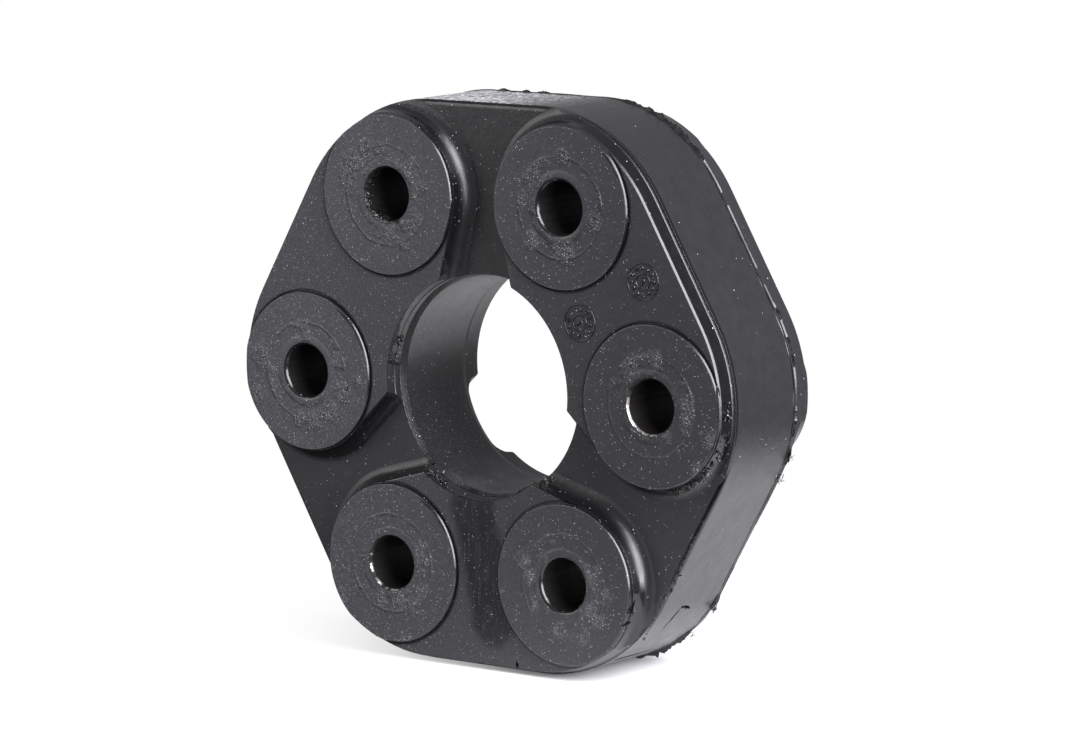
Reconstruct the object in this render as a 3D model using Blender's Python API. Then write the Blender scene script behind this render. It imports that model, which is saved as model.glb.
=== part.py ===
"""Rubber driveshaft coupler: a six-bolt flex disc standing on one flat of its rim.

A moulded rubber body holds six steel bolt sleeves. On each sleeve sit, from face to face, an
end collar, a cord loop, a spacer ring, a second cord loop, a spacer ring, a third cord loop
and an end collar. The front and rear loops tie the two sleeves under each raised pad, and the
wider centre loops tie the two sleeves on each side of a recess, so every sleeve pulls on both
of its neighbours.

Lengths are in metres. The coupler is modelled with its axis along local Z and its front face
at +Z, and an empty then stands it up with the front facing -Y and the rim's lowest flat at
the height of zero.
"""
import math

import bpy
import bmesh
from mathutils import Vector

MM = 0.001

# Bolt layout
BOLT_COUNT = 6
PITCH_ANGLE = 2.0 * math.pi / BOLT_COUNT
HALF_PITCH = PITCH_ANGLE / 2.0
BOLT_CIRCLE_RADIUS = 48.0 * MM
PAIR_COUNT = BOLT_COUNT // 2

# Fits
CLEARANCE = 0.3 * MM
BLEND = 0.05 * MM
OVERRUN = 1.0 * MM

# Bolt sleeve
SLEEVE_BORE_RADIUS = 6.1 * MM
SLEEVE_WALL = 5.1 * MM
SLEEVE_MOUTH_CHAMFER = 0.35 * MM
SLEEVE_RADIUS = SLEEVE_BORE_RADIUS + SLEEVE_WALL

# What sits on a sleeve, from its end to its middle
COUPLER_THICKNESS = 34.2 * MM
FACE_SKIN = 1.4 * MM
COLLAR_THICKNESS = 1.8 * MM
LOOP_DEPTH = 3.8 * MM
LOOP_EDGE = 1.1 * MM
OUTER_LOOP_WIDTH = 6.0 * MM
SPACER_THICKNESS = 1.2 * MM
HALF_THICKNESS = COUPLER_THICKNESS / 2.0

# Rubber left outside the parts that it holds
BOSS_COVER = 2.5 * MM
BORE_COVER = 1.57 * MM
RIM_COVER = 5.83 * MM

# Moulded form
RIM_CORNER_RADIUS = 37.0 * MM
RIM_EDGE_ROUND = 1.3 * MM
FRONT_LINE_DEPTH = 4.1 * MM
RIM_LEDGE = 0.3 * MM
RIM_LIP = 0.15 * MM
RIM_GROOVE_WIDTH = 0.35 * MM
RIM_GROOVE_DEPTH = 0.5 * MM
PAD_SIDE_TAPER = 0.7 * MM
PAD_DROP = 0.6 * MM
PAD_MARGIN = 0.25 * MM
PAD_EDGE_ROUND = 0.4 * MM
BOSS_EDGE_ROUND = 0.3 * MM
PAD_TAIL_SHARE = 0.25
RECESS_DEPTH = 5.1 * MM
RECESS_HALF_WIDTH_AT_BORE = 10.0 * MM
RECESS_WALL_DRAFT = math.radians(10.0)
COVE_SHARE = 0.354
BORE_MOUTH_RELIEF = 0.8 * MM
BORE_LIP_DEPTH = 5.3 * MM
BORE_LIP_SLOPE = 1.7 * MM

# Sizes that follow
LOOP_INNER_RADIUS = SLEEVE_RADIUS + CLEARANCE
LOOP_OUTER_RADIUS = LOOP_INNER_RADIUS + LOOP_DEPTH
BOSS_RADIUS = LOOP_OUTER_RADIUS + CLEARANCE + BOSS_COVER
BOLT_APOTHEM = BOLT_CIRCLE_RADIUS * math.cos(HALF_PITCH)
BORE_RADIUS = BOLT_APOTHEM - LOOP_OUTER_RADIUS - CLEARANCE - BORE_COVER
RIM_APOTHEM = BOLT_APOTHEM + LOOP_OUTER_RADIUS + CLEARANCE + RIM_COVER
REAR_LINE_DEPTH = RECESS_DEPTH + RIM_EDGE_ROUND
RECESS_NARROWEST = BOLT_CIRCLE_RADIUS * math.sin(HALF_PITCH) - BOSS_RADIUS - PAD_MARGIN
COVE_RADIUS = COVE_SHARE * RECESS_NARROWEST
COLLAR_TOP = HALF_THICKNESS - FACE_SKIN - CLEARANCE
OUTER_LOOP_TOP = COLLAR_TOP - COLLAR_THICKNESS - CLEARANCE
SPACER_TOP = OUTER_LOOP_TOP - OUTER_LOOP_WIDTH - CLEARANCE
CENTRE_LOOP_TOP = SPACER_TOP - SPACER_THICKNESS - CLEARANCE

# Facets of the round forms
BORE_FACETS = 48
BOSS_FACETS = 36
SLEEVE_FACETS = 24
RING_FACETS = 16
RIM_CORNER_STEPS = 8
PAD_ARC_STEPS = 10
LOOP_ARC_STEPS = 8
ROUND_STEPS = 3
SMOOTH_ANGLE = math.radians(35.0)

RUBBER = ("rubber", (0.045, 0.045, 0.050, 1.0), 0.55, 0.0)
STEEL = ("steel", (0.42, 0.41, 0.39, 1.0), 0.38, 1.0)
PLATED_STEEL = ("plated_steel", (0.50, 0.46, 0.36, 1.0), 0.45, 1.0)
CORD = ("cord", (0.62, 0.58, 0.50, 1.0), 0.85, 0.0)


def make_material(finish):
    name, colour, roughness, metallic = finish
    material = bpy.data.materials.new(name)
    material.use_nodes = True
    shader = material.node_tree.nodes["Principled BSDF"]
    shader.inputs["Base Color"].default_value = colour
    shader.inputs["Roughness"].default_value = roughness
    shader.inputs["Metallic"].default_value = metallic
    material.diffuse_color = colour
    return material


def polar(radius, angle, height=0.0):
    return Vector((radius * math.cos(angle), radius * math.sin(angle), height))


def circle(radius, height, facets, centre=(0.0, 0.0)):
    middle = Vector((centre[0], centre[1], 0.0))
    return [middle + polar(radius, 2.0 * math.pi * step / facets, height) for step in range(facets)]


def flats_outside(radius, facet_angle):
    """Corner radius of a faceted circle whose flats just clear a true circle of the given radius."""
    return radius / math.cos(facet_angle / 2.0)


def arc(centre, radius, start, end, steps, height):
    points = []
    for step in range(steps + 1):
        angle = start + (end - start) * step / steps
        points.append(Vector((centre[0], centre[1], 0.0)) + polar(radius, angle, height))
    return points


def loft(mesh, rings, closed=False):
    """Skins a row of outlines that have the same number of points, and caps it unless it closes on itself."""
    rows = [[mesh.verts.new(point) for point in ring] for ring in rings]
    spans = list(zip(rows, rows[1:]))
    if closed:
        spans.append((rows[-1], rows[0]))
    count = len(rows[0])
    for upper, lower in spans:
        for index in range(count):
            following = (index + 1) % count
            mesh.faces.new((upper[index], lower[index], lower[following], upper[following]))
    if not closed:
        mesh.faces.new(rows[0])
        mesh.faces.new(tuple(reversed(rows[-1])))


def turned_rings(profile, facets, centre=(0.0, 0.0)):
    """One circle for each (height, radius) pair of a turned profile."""
    return [circle(radius, height, facets, centre) for height, radius in profile]


def both_faces(front_profile, rear_profile=None):
    """Turns (depth below a boss face, size) pairs into (height, size) pairs from the front face to the rear one."""
    front = [(HALF_THICKNESS - depth, size) for depth, size in front_profile]
    rear = [(depth - HALF_THICKNESS, size) for depth, size in rear_profile or front_profile]
    return front + rear[::-1]


def finish_mesh(name, mesh):
    bmesh.ops.recalc_face_normals(mesh, faces=mesh.faces)
    data = bpy.data.meshes.new(name)
    mesh.to_mesh(data)
    mesh.free()
    data.shade_smooth()
    data.set_sharp_from_angle(angle=SMOOTH_ANGLE)
    return data


def add_object(name, data, frame, material=None, location=(0.0, 0.0, 0.0), turn=0.0):
    item = bpy.data.objects.new(name, data)
    bpy.context.scene.collection.objects.link(item)
    item.parent = frame
    item.location = location
    item.rotation_euler = (0.0, 0.0, turn)
    if material is not None and not data.materials:
        data.materials.append(material)
    return item


def add_cutter(name, mesh, frame):
    cutter = add_object(name, finish_mesh(name, mesh), frame)
    cutter.hide_render = True
    cutter.display_type = "WIRE"
    return cutter


def add_boolean(target, operation, cutter):
    modifier = target.modifiers.new(operation.lower() + "_" + cutter.name, "BOOLEAN")
    modifier.operation = operation
    modifier.solver = "EXACT"
    modifier.object = cutter


def bolt_angle(index):
    return PITCH_ANGLE * index


def bolt_centre(index):
    return polar(BOLT_CIRCLE_RADIUS, bolt_angle(index))


def pad_angle(index):
    """Middle of a raised pad, half way between its two bolts."""
    return 2.0 * PITCH_ANGLE * index + HALF_PITCH


def recess_angle(index):
    return pad_angle(index) + PITCH_ANGLE


# Outer form of the rubber body
def rim_outline(inset, height):
    """Hexagon with wide round corners over the bolts, drawn in by an inset."""
    reach = (RIM_APOTHEM - RIM_CORNER_RADIUS) / math.cos(HALF_PITCH)
    points = []
    for index in range(BOLT_COUNT):
        angle = bolt_angle(index)
        start = angle - HALF_PITCH
        end = angle + HALF_PITCH
        points += arc(polar(reach, angle), RIM_CORNER_RADIUS - inset, start, end, RIM_CORNER_STEPS, height)
    return points


def slab_rings():
    """The disc between the front and rear recess floors, with its rim edges rounded over."""
    profile = []
    for step in range(ROUND_STEPS + 1):
        angle = (math.pi / 2.0) * step / ROUND_STEPS
        depth = RECESS_DEPTH + RIM_EDGE_ROUND * (1.0 - math.cos(angle))
        profile.append((depth, RIM_EDGE_ROUND * (1.0 - math.sin(angle))))
    return [rim_outline(inset, height) for height, inset in both_faces(profile)]


def pad_side_profile(line_depth):
    """The outer side of the pads and bosses of one face: tapered to a ledge, then just inside the rim."""
    pad_inset = RIM_LEDGE + PAD_SIDE_TAPER
    return [
        (-OVERRUN, pad_inset + PAD_EDGE_ROUND),
        (PAD_DROP, pad_inset + PAD_EDGE_ROUND),
        (PAD_DROP + PAD_EDGE_ROUND, pad_inset),
        (line_depth, RIM_LEDGE),
        (line_depth + RIM_LEDGE, BLEND),
    ]


def side_rings():
    """Both pad sides. The front one ends in a lip and a thin groove, where the mould's front ring closed.
    The rear one runs to the mould's parting line, where the rim reaches its full width."""
    groove_top = FRONT_LINE_DEPTH + RIM_LEDGE + RIM_LIP
    front = pad_side_profile(FRONT_LINE_DEPTH) + [
        (groove_top, BLEND),
        (groove_top, BLEND + RIM_GROOVE_DEPTH),
        (groove_top + RIM_GROOVE_WIDTH, BLEND + RIM_GROOVE_DEPTH),
        (groove_top + RIM_GROOVE_WIDTH, BLEND),
    ]
    profile = both_faces(front, pad_side_profile(REAR_LINE_DEPTH))
    return [rim_outline(inset, height) for height, inset in profile]


def pad_profile():
    """A pad's wall down to the recess floor: rounded top edge, drafted wall and cove at the foot."""
    wall_top = PAD_DROP + PAD_EDGE_ROUND
    floor = RECESS_DEPTH + BLEND
    slope = math.tan(RECESS_WALL_DRAFT)
    cove_depth = floor - COVE_RADIUS
    cove_offset = COVE_RADIUS / math.cos(RECESS_WALL_DRAFT) + (cove_depth - wall_top) * slope
    profile = [(PAD_DROP, -PAD_EDGE_ROUND), (wall_top, 0.0)]
    start = math.pi - RECESS_WALL_DRAFT
    end = math.pi / 2.0
    for step in range(ROUND_STEPS + 1):
        angle = start + (end - start) * step / ROUND_STEPS
        offset = cove_offset + COVE_RADIUS * math.cos(angle)
        profile.append((cove_depth + COVE_RADIUS * math.sin(angle), offset))
    profile.append((floor + RIM_EDGE_ROUND + OVERRUN, 0.0))
    return profile


def pad_end_direction():
    """Direction, at a boss, of the point where the pad's end leaves the boss and runs straight to the bore."""
    boss = polar(BOLT_CIRCLE_RADIUS, -HALF_PITCH)
    run = math.sqrt(BORE_RADIUS ** 2 - RECESS_HALF_WIDTH_AT_BORE ** 2)
    corner = Vector((run, -RECESS_HALF_WIDTH_AT_BORE, 0.0))
    gap = corner - boss
    spread = math.acos((BOSS_RADIUS + PAD_MARGIN) / gap.length)
    direction = math.atan2(gap.y, gap.x) - spread
    straight = math.sqrt(gap.length ** 2 - (BOSS_RADIUS + PAD_MARGIN) ** 2)
    return direction + PITCH_ANGLE, straight


def pad_outline(middle, offset, height):
    """Outline of a pad, from past the rim, round both its bosses and in past the bore."""
    end_angle, straight = pad_end_direction()
    radius = BOSS_RADIUS + PAD_MARGIN + offset
    tail = straight + PAD_TAIL_SHARE * BORE_RADIUS
    sides = []
    for side in (1.0, -1.0):
        boss = polar(BOLT_CIRCLE_RADIUS, middle + side * HALF_PITCH)
        start = middle + side * HALF_PITCH
        end = middle + side * end_angle
        points = arc(boss, radius, start, end, PAD_ARC_STEPS, height)
        points.append(points[-1] + polar(tail, end + side * math.pi / 2.0))
        sides.append(points)
    apex = polar((BOLT_CIRCLE_RADIUS + radius) / math.cos(HALF_PITCH), middle, height)
    return [apex] + sides[0] + list(reversed(sides[1]))


def make_raised_forms(frame):
    """The three pads and six bosses of both faces, before their outer side is trimmed."""
    pads = bmesh.new()
    for index in range(PAIR_COUNT):
        profile = both_faces(pad_profile())
        loft(pads, [pad_outline(pad_angle(index), offset, height) for height, offset in profile])
    bosses = bmesh.new()
    for index in range(BOLT_COUNT):
        profile = both_faces([(0.0, BOSS_RADIUS - BOSS_EDGE_ROUND), (BOSS_EDGE_ROUND, BOSS_RADIUS)])
        loft(bosses, turned_rings(profile, BOSS_FACETS, bolt_centre(index)))
    raised = add_cutter("raised_forms", pads, frame)
    add_boolean(raised, "UNION", add_cutter("boss_forms", bosses, frame))
    return raised


# Hollows of the rubber body
def make_bore_cutter(frame):
    """The centre hole, relieved where it passes between the pads of each face."""
    mouth = BORE_RADIUS + BORE_MOUTH_RELIEF
    profile = both_faces([
        (-OVERRUN, mouth),
        (BORE_LIP_DEPTH, mouth),
        (BORE_LIP_DEPTH + BORE_LIP_SLOPE, BORE_RADIUS),
    ])
    cutter = bmesh.new()
    loft(cutter, turned_rings(profile, BORE_FACETS))
    return add_cutter("bore_cutter", cutter, frame)


def make_stack_cutter(frame):
    """Room for each sleeve with its collars, loops and spacers, open at both faces."""
    hole = SLEEVE_RADIUS + CLEARANCE
    hollow = flats_outside(LOOP_OUTER_RADIUS + CLEARANCE, 2.0 * math.pi / SLEEVE_FACETS)
    profile = both_faces([(-OVERRUN, hole), (FACE_SKIN, hole), (FACE_SKIN, hollow)])
    cutter = bmesh.new()
    for index in range(BOLT_COUNT):
        loft(cutter, turned_rings(profile, SLEEVE_FACETS, bolt_centre(index)))
    return add_cutter("stack_cutter", cutter, frame)


def loop_layers():
    """Top height, width and first pad or recess angle of the front, centre and rear loops."""
    return (
        (OUTER_LOOP_TOP, OUTER_LOOP_WIDTH, pad_angle),
        (CENTRE_LOOP_TOP, 2.0 * CENTRE_LOOP_TOP, recess_angle),
        (OUTER_LOOP_WIDTH - OUTER_LOOP_TOP, OUTER_LOOP_WIDTH, pad_angle),
    )


def make_strand_cutter(frame):
    """Straight channels for the inner and outer run of every cord loop, between its two sleeves."""
    near = LOOP_INNER_RADIUS - CLEARANCE
    far = LOOP_OUTER_RADIUS + CLEARANCE - BLEND
    half_length = BOLT_CIRCLE_RADIUS * math.sin(HALF_PITCH)
    cutter = bmesh.new()
    for top, width, middle_angle in loop_layers():
        for index in range(PAIR_COUNT):
            out = polar(1.0, middle_angle(index))
            along = Vector((-out.y, out.x, 0.0))
            for side in (1.0, -1.0):
                rings = []
                for height in (top + CLEARANCE, top - width - CLEARANCE):
                    ring = []
                    for distance, shift in ((near, -1.0), (far, -1.0), (far, 1.0), (near, 1.0)):
                        point = out * (BOLT_APOTHEM + side * distance) + along * (shift * half_length)
                        ring.append(Vector((point.x, point.y, height)))
                    rings.append(ring)
                loft(cutter, rings)
    return add_cutter("strand_cutter", cutter, frame)


def make_rubber_body(frame):
    side = bmesh.new()
    loft(side, side_rings())
    body = add_object("rubber_body", finish_mesh("rubber_body", side), frame, make_material(RUBBER))
    slab = bmesh.new()
    loft(slab, slab_rings())
    add_boolean(body, "INTERSECT", make_raised_forms(frame))
    add_boolean(body, "UNION", add_cutter("slab_form", slab, frame))
    add_boolean(body, "DIFFERENCE", make_bore_cutter(frame))
    add_boolean(body, "DIFFERENCE", make_stack_cutter(frame))
    add_boolean(body, "DIFFERENCE", make_strand_cutter(frame))
    return body


# Turned steel parts
def turned_part(name, profile, facets):
    """Closed ring turned from (height, radius) pairs that run once round its section."""
    mesh = bmesh.new()
    loft(mesh, turned_rings(profile, facets), closed=True)
    return finish_mesh(name, mesh)


def make_sleeves(frame):
    mouth = SLEEVE_BORE_RADIUS + SLEEVE_MOUTH_CHAMFER
    wall_end = HALF_THICKNESS - SLEEVE_MOUTH_CHAMFER
    profile = [
        (HALF_THICKNESS, SLEEVE_RADIUS),
        (-HALF_THICKNESS, SLEEVE_RADIUS),
        (-HALF_THICKNESS, mouth),
        (-wall_end, SLEEVE_BORE_RADIUS),
        (wall_end, SLEEVE_BORE_RADIUS),
        (HALF_THICKNESS, mouth),
    ]
    data = turned_part("bolt_sleeve", profile, SLEEVE_FACETS)
    steel = make_material(STEEL)
    for index in range(BOLT_COUNT):
        add_object("bolt_sleeve_%d" % (index + 1), data, frame, steel, bolt_centre(index))


def make_rings(frame, kind, top, thickness):
    """One plain ring for each sleeve and face, as deep as the cord loops that it lies against."""
    inner = flats_outside(LOOP_INNER_RADIUS, 2.0 * math.pi / RING_FACETS)
    profile = [
        (thickness / 2.0, LOOP_OUTER_RADIUS),
        (-thickness / 2.0, LOOP_OUTER_RADIUS),
        (-thickness / 2.0, inner),
        (thickness / 2.0, inner),
    ]
    data = turned_part(kind + "_ring", profile, RING_FACETS)
    plated = make_material(PLATED_STEEL)
    middle = top - thickness / 2.0
    for index in range(BOLT_COUNT):
        for face, height in (("front", middle), ("rear", -middle)):
            place = bolt_centre(index) + Vector((0.0, 0.0, height))
            add_object("%s_%s_%d" % (face, kind, index + 1), data, frame, plated, place)


# Cord loops
def loop_outline(radius, height):
    """Race-track line round two neighbouring sleeves, at a radius from their centres."""
    points = []
    for side, start in ((1.0, 0.0), (-1.0, math.pi)):
        centre = polar(BOLT_CIRCLE_RADIUS, side * HALF_PITCH)
        points += arc(centre, radius, start, start + math.pi, LOOP_ARC_STEPS, height)
    return points


def loop_mesh(name, width):
    """Wound cord pack: a race-track ring with a section whose edges are eased."""
    low = flats_outside(LOOP_INNER_RADIUS, math.pi / LOOP_ARC_STEPS)
    high = LOOP_OUTER_RADIUS
    section = (
        (low + LOOP_EDGE, 0.0), (high - LOOP_EDGE, 0.0), (high, -LOOP_EDGE), (high, LOOP_EDGE - width),
        (high - LOOP_EDGE, -width), (low + LOOP_EDGE, -width), (low, LOOP_EDGE - width), (low, -LOOP_EDGE),
    )
    mesh = bmesh.new()
    loft(mesh, [loop_outline(radius, height) for radius, height in section], closed=True)
    return finish_mesh(name, mesh)


def make_cord_loops(frame):
    cord = make_material(CORD)
    outer = loop_mesh("outer_cord_loop", OUTER_LOOP_WIDTH)
    centre = loop_mesh("centre_cord_loop", 2.0 * CENTRE_LOOP_TOP)
    meshes = (("front", outer), ("centre", centre), ("rear", outer))
    for (layer, data), (top, width, middle_angle) in zip(meshes, loop_layers()):
        for index in range(PAIR_COUNT):
            name = "%s_cord_loop_%d" % (layer, index + 1)
            add_object(name, data, frame, cord, (0.0, 0.0, top), middle_angle(index))


def build_coupler():
    for item in list(bpy.data.objects):
        bpy.data.objects.remove(item, do_unlink=True)
    frame = bpy.data.objects.new("coupler_axis", None)
    bpy.context.scene.collection.objects.link(frame)
    frame.location = (0.0, 0.0, RIM_APOTHEM)
    frame.rotation_euler = (math.pi / 2.0, 0.0, 0.0)
    make_rubber_body(frame)
    make_sleeves(frame)
    make_rings(frame, "collar", COLLAR_TOP, COLLAR_THICKNESS)
    make_rings(frame, "spacer", SPACER_TOP, SPACER_THICKNESS)
    make_cord_loops(frame)


build_coupler()
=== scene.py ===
import math
import random
from types import SimpleNamespace

import bpy
import bmesh
from mathutils import Matrix, Vector, noise


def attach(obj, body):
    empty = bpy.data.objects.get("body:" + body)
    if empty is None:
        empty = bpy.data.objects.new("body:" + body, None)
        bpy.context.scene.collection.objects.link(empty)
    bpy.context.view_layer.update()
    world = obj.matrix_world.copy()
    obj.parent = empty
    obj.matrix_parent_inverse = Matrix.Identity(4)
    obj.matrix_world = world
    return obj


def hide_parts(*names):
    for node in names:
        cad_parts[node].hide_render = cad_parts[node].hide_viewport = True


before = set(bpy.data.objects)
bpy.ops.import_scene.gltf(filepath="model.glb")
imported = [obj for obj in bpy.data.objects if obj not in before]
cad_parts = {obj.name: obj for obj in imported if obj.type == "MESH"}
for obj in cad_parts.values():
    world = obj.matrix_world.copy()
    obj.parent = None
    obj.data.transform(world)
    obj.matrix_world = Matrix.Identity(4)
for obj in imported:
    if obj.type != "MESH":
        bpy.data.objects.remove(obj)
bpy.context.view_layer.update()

# Lengths in the mesh code are millimetres, with the coupler's axis as local Z and its front at +Z.
# The sizes are those of the CAD part.
MM = 0.001
BOLT_COUNT = 6
PITCH = 2.0 * math.pi / BOLT_COUNT
BOLT_RADIUS = 48.0
THICKNESS = 34.2
HALF = THICKNESS / 2.0
CLEARANCE = 0.3
BLEND = 0.01
OVERRUN = 1.0
SLEEVE_RADIUS = 11.2
LOOP_OUTER = SLEEVE_RADIUS + CLEARANCE + 3.8
FACE_SKIN = 1.4
BOSS_RADIUS = LOOP_OUTER + CLEARANCE + 2.5
BOLT_APOTHEM = BOLT_RADIUS * math.cos(PITCH / 2.0)
BORE_RADIUS = BOLT_APOTHEM - LOOP_OUTER - CLEARANCE - 1.57
RIM_APOTHEM = BOLT_APOTHEM + LOOP_OUTER + CLEARANCE + 5.83
RIM_CORNER = 37.0
RIM_ROUND = 1.3
PAD_TAPER = 0.7
PAD_DROP = 0.6
PAD_MARGIN = 0.25
PAD_ROUND = 0.5
RECESS_DEPTH = 5.1
RECESS_HALF = 10.0
DRAFT = math.radians(10.0)
# Depths of the two lines round the rim, below the front and the rear face
FRONT_LINE = 4.1
REAR_LINE = RECESS_DEPTH + RIM_ROUND
# Finer detail that the CAD part leaves out
COVE = 3.3
MOUTH_RADIUS = BORE_RADIUS + 0.8
FILM = 0.10
FILM_GAP = 0.07
FILM_HOLE = 6.47

CENTRE = Vector((0.0, 0.0, RIM_APOTHEM * MM))
STAND = Matrix.Translation(CENTRE) @ Matrix.Rotation(math.pi / 2.0, 4, "X") @ Matrix.Scale(MM, 4)


# Mesh helpers
def polar(radius, angle, height=0.0):
    return Vector((radius * math.cos(angle), radius * math.sin(angle), height))


def circle(radius, height, facets, centre=(0.0, 0.0)):
    middle = Vector((centre[0], centre[1], 0.0))
    return [middle + polar(radius, 2.0 * math.pi * k / facets, height) for k in range(facets)]


def arc(centre, radius, start, end, steps, height):
    middle = Vector((centre[0], centre[1], 0.0))
    return [middle + polar(radius, start + (end - start) * k / steps, height) for k in range(steps + 1)]


def loft(mesh, rings, closed=False):
    rows = [[mesh.verts.new(point) for point in ring] for ring in rings]
    spans = list(zip(rows, rows[1:]))
    if closed:
        spans.append((rows[-1], rows[0]))
    count = len(rows[0])
    for upper, lower in spans:
        for index in range(count):
            following = (index + 1) % count
            mesh.faces.new((upper[index], lower[index], lower[following], upper[following]))
    if not closed:
        mesh.faces.new(rows[0])
        mesh.faces.new(tuple(reversed(rows[-1])))


def both_faces(front, rear=None):
    """(height, size) pairs from the front face to the rear one, made from (depth, size) pairs."""
    low = [(depth - HALF, size) for depth, size in rear or front]
    return [(HALF - depth, size) for depth, size in front] + low[::-1]


def place(name, mesh, angle=35.0):
    """Stands a mesh made in the coupler's own axes up in the shared frame."""
    bmesh.ops.recalc_face_normals(mesh, faces=mesh.faces)
    data = bpy.data.meshes.new(name)
    mesh.to_mesh(data)
    mesh.free()
    data.transform(STAND)
    data.shade_smooth()
    data.set_sharp_from_angle(angle=math.radians(angle))
    item = bpy.data.objects.new(name, data)
    bpy.context.scene.collection.objects.link(item)
    return item


def combine(target, operation, cutter):
    modifier = target.modifiers.new(operation.lower(), "BOOLEAN")
    modifier.operation = operation
    modifier.solver = "EXACT"
    modifier.object = cutter
    bpy.context.view_layer.update()
    data = bpy.data.meshes.new_from_object(target.evaluated_get(bpy.context.evaluated_depsgraph_get()))
    target.modifiers.clear()
    target.data = data
    bpy.data.objects.remove(cutter)


def bolt_centre(index):
    return polar(BOLT_RADIUS, PITCH * index)


def pad_angle(index):
    return 2.0 * PITCH * index + PITCH / 2.0


# Outward direction of the rim's lower right flat, which holds the crack
LOWER_RIGHT = polar(1.0, -PITCH / 2.0)


def on_lower_right(spot, inset=0.0):
    """The spot moved along the flat's own direction until it lies on the flat, or inset from it."""
    return spot + LOWER_RIGHT * (RIM_APOTHEM - inset - spot.dot(LOWER_RIGHT))


# The rubber body, with the same sizes as the CAD part and finer rounds
def rim_outline(inset, height, steps=20, straight=4):
    reach = (RIM_APOTHEM - RIM_CORNER) / math.cos(PITCH / 2.0)
    points = []
    for index in range(BOLT_COUNT):
        angle = PITCH * index
        first, last = angle - PITCH / 2.0, angle + PITCH / 2.0
        bend = arc(polar(reach, angle), RIM_CORNER - inset, first, last, steps, height)
        if points:
            points += [points[-1].lerp(bend[0], k / straight) for k in range(1, straight)]
        points += bend
    points += [points[-1].lerp(points[0], k / straight) for k in range(1, straight)]
    return points


def quarter(depth, size, radius, steps, start=0.0):
    """(depth, size) pairs of a rounded outer edge that starts on a flat top and ends on a wall."""
    pairs = []
    for k in range(steps + 1):
        angle = start + (math.pi / 2.0 - start) * k / steps
        pairs.append((depth + radius * (1.0 - math.cos(angle)), size - radius * (1.0 - math.sin(angle))))
    return pairs


def soft_edge(depth, inset, size):
    """(depth, inset) pairs of an edge with a small round and then a bevel of about 32 degrees."""
    shape = ((0.0, 1.0), (0.06, 0.73), (0.19, 0.60), (1.12, 0.02), (1.27, -0.03))
    return [(depth + down * size, inset + away * size) for down, away in shape]


def slab_rings():
    pairs = [(depth, -inset) for depth, inset in quarter(RECESS_DEPTH, 0.0, RIM_ROUND, 6)]
    return [rim_outline(inset, height) for height, inset in both_faces(pairs)]


def side_rings():
    """Front: tapered pad side, lip and thin deep line. Rear: tapered pad side to the parting line."""
    inset = 0.3 + PAD_TAPER
    top = [(-OVERRUN, inset + 0.40)] + soft_edge(PAD_DROP, inset, 0.40)
    lip = (
        (-0.15, 0.34), (0.0, 0.24), (0.14, 0.08), (0.34, 0.04),
        (0.46, 0.10), (0.52, 0.55), (0.84, 0.55), (0.92, 0.04), (1.05, -BLEND),
    )
    front = top + [(FRONT_LINE + depth, away) for depth, away in lip]
    rear = top + [(REAR_LINE - 0.35, 0.38), (REAR_LINE - 0.2, 0.12), (REAR_LINE, -BLEND)]
    return [rim_outline(inset, height) for height, inset in both_faces(front, rear)]


def pad_profile():
    top = PAD_DROP + PAD_ROUND
    floor = RECESS_DEPTH + 0.02
    cove_depth = floor - COVE
    cove_offset = COVE / math.cos(DRAFT) + (cove_depth - top) * math.tan(DRAFT)
    pairs = quarter(PAD_DROP, 0.0, PAD_ROUND, 4)
    start = math.pi - DRAFT
    for k in range(13):
        angle = start + (math.pi / 2.0 - start) * k / 12
        pairs.append((cove_depth + COVE * math.sin(angle), cove_offset + COVE * math.cos(angle)))
    pairs.append((floor + RIM_ROUND + OVERRUN, 0.0))
    return pairs


def pad_end_direction():
    boss = polar(BOLT_RADIUS, -PITCH / 2.0)
    run = math.sqrt(BORE_RADIUS ** 2 - RECESS_HALF ** 2)
    gap = Vector((run, -RECESS_HALF, 0.0)) - boss
    spread = math.acos((BOSS_RADIUS + PAD_MARGIN) / gap.length)
    straight = math.sqrt(gap.length ** 2 - (BOSS_RADIUS + PAD_MARGIN) ** 2)
    return math.atan2(gap.y, gap.x) - spread + PITCH, straight


def pad_outline(middle, offset, height):
    end_angle, straight = pad_end_direction()
    radius = BOSS_RADIUS + PAD_MARGIN + offset
    tail = straight + BORE_RADIUS / 4.0
    sides = []
    for side in (1.0, -1.0):
        boss = polar(BOLT_RADIUS, middle + side * PITCH / 2.0)
        end = middle + side * end_angle
        points = arc(boss, radius, middle + side * PITCH / 2.0, end, 36, height)
        points.append(points[-1] + polar(tail, end + side * math.pi / 2.0))
        sides.append(points)
    apex = polar((BOLT_RADIUS + radius) / math.cos(PITCH / 2.0), middle, height)
    return [apex] + sides[0] + list(reversed(sides[1]))


def turned(mesh, pairs, facets, centre=(0.0, 0.0), closed=False):
    """Turned form from (height, radius) pairs."""
    loft(mesh, [circle(radius, height, facets, centre) for height, radius in pairs], closed)


def stack_cutter():
    """Room for the sleeves and rings. A film of rubber stays over each sleeve's end."""
    hole = SLEEVE_RADIUS + CLEARANCE
    hollow = (LOOP_OUTER + CLEARANCE) / math.cos(math.pi / 56)
    mesh = bmesh.new()
    for index in range(BOLT_COUNT):
        pairs = both_faces([(FILM_GAP - FILM, hole), (FACE_SKIN, hole), (FACE_SKIN, hollow)])
        turned(mesh, pairs, 56, bolt_centre(index))
    return place("stack_cutter", mesh)


def wander(angle, seed, coarse=1.6):
    """Uneven value from about -1 to 1 that closes on itself round a circle."""
    spot = Vector((math.cos(angle) * coarse, math.sin(angle) * coarse, seed * 7.31))
    return noise.noise(spot) + 0.5 * noise.noise(spot * 3.3) + 0.25 * noise.noise(spot * 9.0)


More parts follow.
